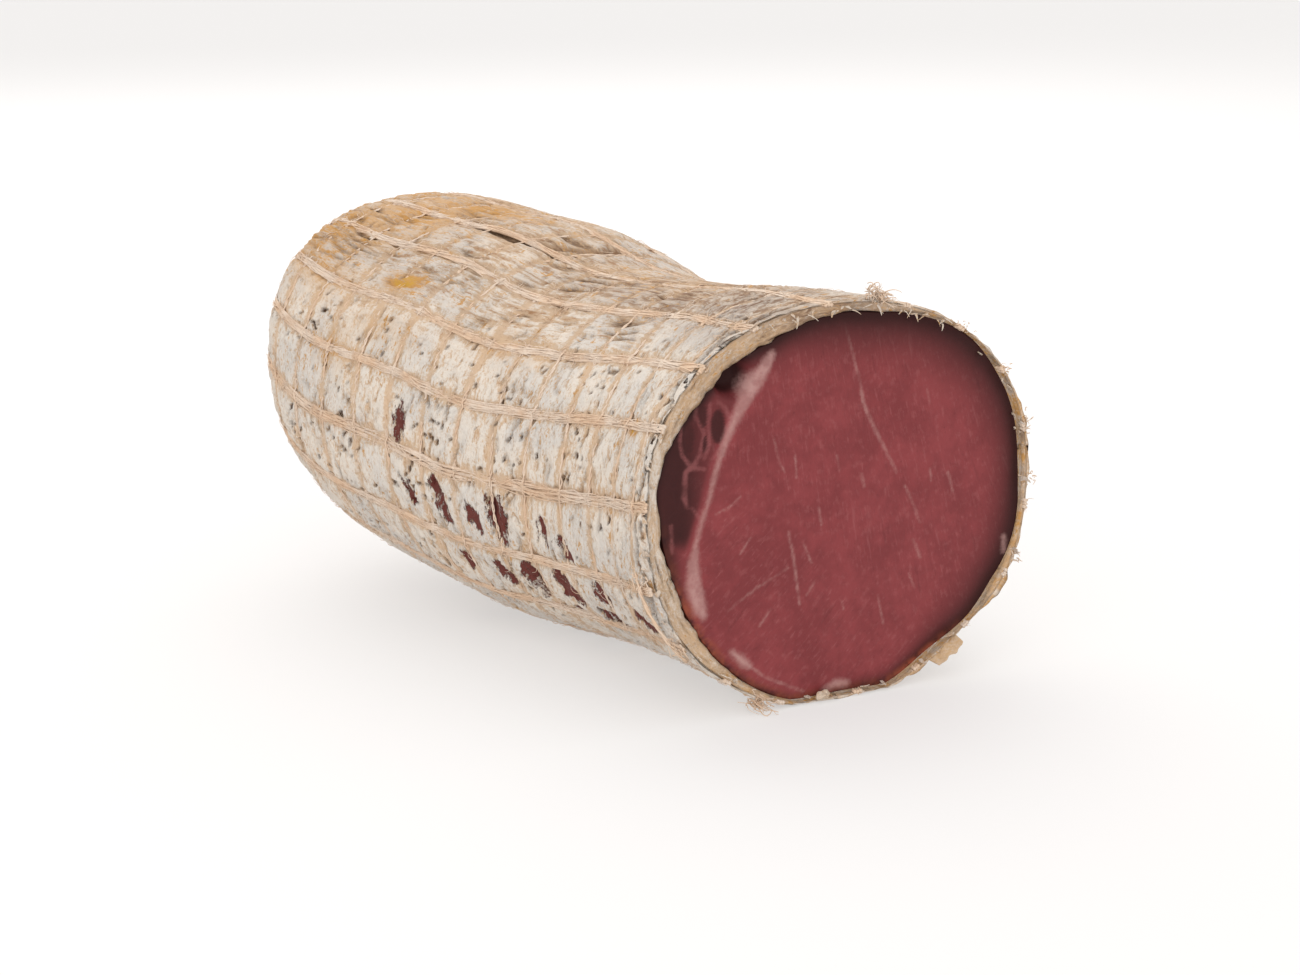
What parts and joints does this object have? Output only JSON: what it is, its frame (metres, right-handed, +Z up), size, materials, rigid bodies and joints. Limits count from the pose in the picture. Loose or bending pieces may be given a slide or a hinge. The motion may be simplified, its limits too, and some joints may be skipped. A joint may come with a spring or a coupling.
{
  "type": "bresaola",
  "caption": "Cut half of an air-dried beef muscle in its natural casing and elastic tying net, with a flat cut face; it lies on its side to be sliced.",
  "frame": {"origin": "middle of the footprint, on the surface that the piece lies on", "axes": "+Z up; +Y along the muscle, from the cut face to the tied rounded end; +X to the far side when the cut face is seen from the front left"},
  "size_m": [0.127, 0.2188, 0.1127],
  "materials": {
    "meat": "dense cured lean beef, cut smooth: dull dark red with white fat veins, fine streaks and a darker dried rim",
    "casing": "dry natural casing: wrinkled, streaky beige and chalky white, with dark red meat and brown stains showing through",
    "net": "stretch net of fuzzy peach-beige cords and fine twisted rings, stained by the meat"
  },
  "bodies": {
    "root": {"meat": "meat", "casing": "casing", "net": "net"}
  },
  "joints": []
}
